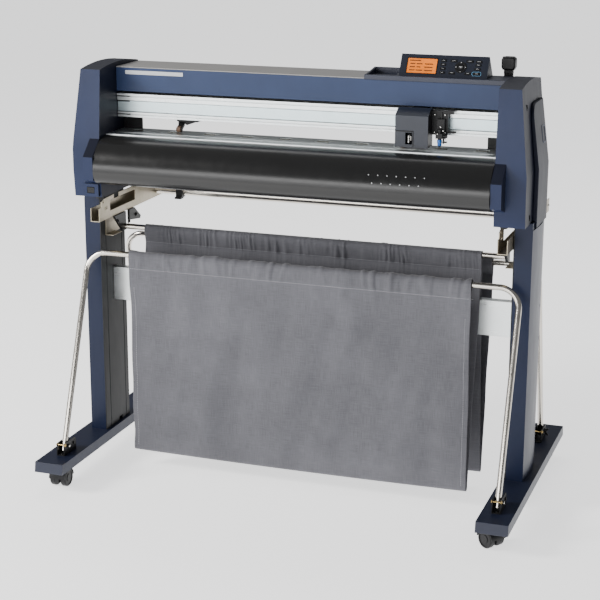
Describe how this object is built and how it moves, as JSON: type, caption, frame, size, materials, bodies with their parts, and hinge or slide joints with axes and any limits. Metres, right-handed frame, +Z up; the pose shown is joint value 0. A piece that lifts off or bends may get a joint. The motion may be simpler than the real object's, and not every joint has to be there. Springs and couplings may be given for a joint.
{
  "type": "wide-format vinyl cutting plotter on a stand",
  "caption": "Wide-format roll-fed sheet cutter with a sliding tool carriage, on a caster stand with a cloth media basket and roll arms.",
  "frame": {"origin": "centre of the bounding box on the floor plane, under the middle of the stand", "axes": "+X to the operator's right along the platen, +Y to the rear, +Z up; the operator stands at -Y"},
  "size_m": [1.323, 0.811, 1.203],
  "materials": {
    "navy_paint": "fine textured powder coat",
    "slate_cover": "fine textured paint on moulded covers",
    "black_plastic": "moulded",
    "black_metal": "semi-gloss powder coat",
    "dark_panel": "moulded",
    "aluminium": "anodised",
    "steel_tube": "bright nickel plate",
    "zinc_sheet": "yellow zinc plate",
    "grey_sheet": "warm grey powder coat",
    "cloth": "woven polyester",
    "rubber": "moulded",
    "roller_rubber": "ground",
    "tool_plastic": "moulded",
    "display": "clear window over a lit display",
    "board": "solder mask",
    "navy_plastic": "moulded"
  },
  "bodies": {
    "stand": {"foot_left": "navy_paint", "foot_right": "navy_paint", "foot_caps": "navy_plastic", "leg_left": "navy_paint", "leg_right": "navy_paint", "leg_panels": "dark_panel", "cross_stay": "aluminium", "middle_rod": "steel_tube", "tube_brackets": "black_metal", "bag_middle": "cloth", "stocker_arms": "zinc_sheet", "arm_gussets": "black_metal", "cover_left": "slate_cover", "cover_right": "slate_cover", "side_panels": "slate_cover", "chassis": "black_metal", "fascia": "slate_cover", "top_plate": "grey_sheet", "y_rail": "aluminium", "platen": "aluminium", "apron": "black_metal", "drive_belt": "rubber", "electronics": "board", "rubber_feet": "rubber", "panel_housing": "navy_plastic", "panel_base": "navy_plastic", "lcd": "display"},
    "swivel_fl": {"caster_fork_fl": "black_plastic"},
    "wheels_fl": {"caster_wheels_fl": "black_plastic"},
    "swivel_fr": {"caster_fork_fr": "black_plastic"},
    "wheels_fr": {"caster_wheels_fr": "black_plastic"},
    "swivel_rl": {"caster_fork_rl": "black_plastic"},
    "wheels_rl": {"caster_wheels_rl": "black_plastic"},
    "swivel_rr": {"caster_fork_rr": "black_plastic"},
    "wheels_rr": {"caster_wheels_rr": "black_plastic"},
    "front_bar": {"front_tube": "steel_tube", "bag_front": "cloth"},
    "rear_bar": {"rear_tube": "steel_tube", "bag_rear": "cloth"},
    "roll_shaft_front": {"stock_shaft_front": "steel_tube"},
    "roll_shaft_rear": {"stock_shaft_rear": "steel_tube"},
    "stopper": {"roll_stopper": "black_plastic"},
    "grit": {"grit_roller": "steel_tube"},
    "lever": {"set_lever": "black_plastic"},
    "holder_left": {"push_holder_left": "black_plastic"},
    "arm_left": {"push_arm_left": "black_plastic"},
    "roller_left": {"push_roller_left": "roller_rubber"},
    "holder_right": {"push_holder_right": "black_plastic"},
    "arm_right": {"push_arm_right": "black_plastic"},
    "roller_right": {"push_roller_right": "roller_rubber"},
    "carriage_body": {"carriage": "slate_cover"},
    "tool": {"tool_holder": "black_plastic", "tool_pen": "tool_plastic"},
    "pulley_left": {"belt_pulley_left": "aluminium"},
    "pulley_right": {"belt_pulley_right": "aluminium"},
    "rocker": {"power_rocker": "black_plastic"},
    "soft_key_set": {"soft_keys": "black_plastic"},
    "arrow_ring_key": {"arrow_ring": "black_plastic"},
    "enter_button": {"enter_key": "black_plastic"},
    "function_key_set": {"function_keys": "black_plastic"}
  },
  "joints": [
    {"name": "caster_swivel_fl", "type": "hinge", "parent": "stand", "child": "swivel_fl", "pos_m": [-0.619, -0.3475, 0.06], "axis": [0, 0, 1], "continuous": true},
    {"name": "caster_roll_fl", "type": "hinge", "parent": "swivel_fl", "child": "wheels_fl", "pos_m": [-0.619, -0.3315, 0.025], "axis": [1, 0, 0], "continuous": true},
    {"name": "caster_swivel_fr", "type": "hinge", "parent": "stand", "child": "swivel_fr", "pos_m": [0.619, -0.3475, 0.06], "axis": [0, 0, 1], "continuous": true},
    {"name": "caster_roll_fr", "type": "hinge", "parent": "swivel_fr", "child": "wheels_fr", "pos_m": [0.60589, -0.33832, 0.025], "axis": [0.5736, 0.8192, 0], "continuous": true},
    {"name": "caster_swivel_rl", "type": "hinge", "parent": "stand", "child": "swivel_rl", "pos_m": [-0.619, 0.3195, 0.06], "axis": [0, 0, 1], "continuous": true},
    {"name": "caster_roll_rl", "type": "hinge", "parent": "swivel_rl", "child": "wheels_rl", "pos_m": [-0.61486, 0.33495, 0.025], "axis": [0.9659, -0.2588, 0], "continuous": true},
    {"name": "caster_swivel_rr", "type": "hinge", "parent": "stand", "child": "swivel_rr", "pos_m": [0.619, 0.3195, 0.06], "axis": [0, 0, 1], "continuous": true},
    {"name": "caster_roll_rr", "type": "hinge", "parent": "swivel_rr", "child": "wheels_rr", "pos_m": [0.611, 0.33336, 0.025], "axis": [0.866, 0.5, 0], "continuous": true},
    {"name": "front_bar_tilt", "type": "hinge", "parent": "stand", "child": "front_bar", "pos_m": [0, -0.314, 0.112], "axis": [1, 0, 0], "range_deg": [0, 14]},
    {"name": "rear_bar_tilt", "type": "hinge", "parent": "stand", "child": "rear_bar", "pos_m": [0, 0.258, 0.112], "axis": [-1, 0, 0], "range_deg": [0, 14]},
    {"name": "roll_shaft_front_spin", "type": "hinge", "parent": "stand", "child": "roll_shaft_front", "pos_m": [0, 0.216, 0.746], "axis": [1, 0, 0], "continuous": true},
    {"name": "roll_shaft_rear_spin", "type": "hinge", "parent": "stand", "child": "roll_shaft_rear", "pos_m": [0, 0.362, 0.746], "axis": [1, 0, 0], "continuous": true},
    {"name": "stopper_slide", "type": "slide", "parent": "roll_shaft_front", "child": "stopper", "axis": [1, 0, 0], "range_m": [-0.065, 1.02]},
    {"name": "grit_roller_spin", "type": "hinge", "parent": "stand", "child": "grit", "pos_m": [0, -0.056, 0.956], "axis": [1, 0, 0], "continuous": true},
    {"name": "set_lever_turn", "type": "hinge", "parent": "stand", "child": "lever", "pos_m": [0, 0.064, 1.088], "axis": [-1, 0, 0], "range_deg": [0, 50]},
    {"name": "push_holder_slide_left", "type": "slide", "parent": "stand", "child": "holder_left", "axis": [1, 0, 0], "range_m": [-0.115, 0.55]},
    {"name": "push_arm_lift_left", "type": "hinge", "parent": "holder_left", "child": "arm_left", "pos_m": [-0.361, -0.03, 0.991], "axis": [-1, 0, 0], "range_deg": [0, 11]},
    {"name": "push_roller_spin_left", "type": "hinge", "parent": "arm_left", "child": "roller_left", "pos_m": [-0.361, -0.056, 0.9758], "axis": [1, 0, 0], "continuous": true},
    {"name": "push_holder_slide_right", "type": "slide", "parent": "stand", "child": "holder_right", "axis": [1, 0, 0], "range_m": [-0.55, 0.16]},
    {"name": "push_arm_lift_right", "type": "hinge", "parent": "holder_right", "child": "arm_right", "pos_m": [0.276, -0.03, 0.991], "axis": [-1, 0, 0], "range_deg": [0, 11]},
    {"name": "push_roller_spin_right", "type": "hinge", "parent": "arm_right", "child": "roller_right", "pos_m": [0.276, -0.056, 0.9758], "axis": [1, 0, 0], "continuous": true},
    {"name": "carriage_slide", "type": "slide", "parent": "stand", "child": "carriage_body", "axis": [1, 0, 0], "range_m": [-0.8, 0.115]},
    {"name": "tool_lift", "type": "slide", "parent": "carriage_body", "child": "tool", "axis": [0, 0, 1], "range_m": [-0.0095, 0], "stiffness_N_per_m": 80, "springref_m": 0.006},
    {"name": "belt_pulley_spin_left", "type": "hinge", "parent": "stand", "child": "pulley_left", "pos_m": [-0.522, 0.012, 1.042], "axis": [0, 1, 0], "range_deg": [-4620, 700]},
    {"name": "belt_pulley_spin_right", "type": "hinge", "parent": "stand", "child": "pulley_right", "pos_m": [0.522, 0.012, 1.042], "axis": [0, 1, 0], "range_deg": [-4620, 700]},
    {"name": "power_rocker_turn", "type": "hinge", "parent": "stand", "child": "rocker", "pos_m": [-0.575, -0.174, 0.8145], "axis": [1, 0, 0], "range_deg": [0, 8]},
    {"name": "soft_keys_press", "type": "slide", "parent": "stand", "child": "soft_key_set", "axis": [0, 0.8632, -0.5049], "range_m": [0, 0.001], "stiffness_N_per_m": 350, "springref_m": -0.0006},
    {"name": "arrow_ring_press", "type": "slide", "parent": "stand", "child": "arrow_ring_key", "axis": [0, 0.8632, -0.5049], "range_m": [0, 0.001], "stiffness_N_per_m": 350, "springref_m": -0.0006},
    {"name": "enter_key_press", "type": "slide", "parent": "stand", "child": "enter_button", "axis": [0, 0.8632, -0.5049], "range_m": [0, 0.001], "stiffness_N_per_m": 350, "springref_m": -0.0006},
    {"name": "function_keys_press", "type": "slide", "parent": "stand", "child": "function_key_set", "axis": [0, 0.8632, -0.5049], "range_m": [0, 0.001], "stiffness_N_per_m": 350, "springref_m": -0.0006}
  ],
  "couplings": [
    {"joint": "push_arm_lift_left", "follows": "set_lever_turn", "ratio": 0.2},
    {"joint": "push_arm_lift_right", "follows": "set_lever_turn", "ratio": 0.2},
    {"joint": "belt_pulley_spin_left", "follows": "carriage_slide", "rad_per_m": 98.522},
    {"joint": "belt_pulley_spin_right", "follows": "carriage_slide", "rad_per_m": 98.522}
  ]
}
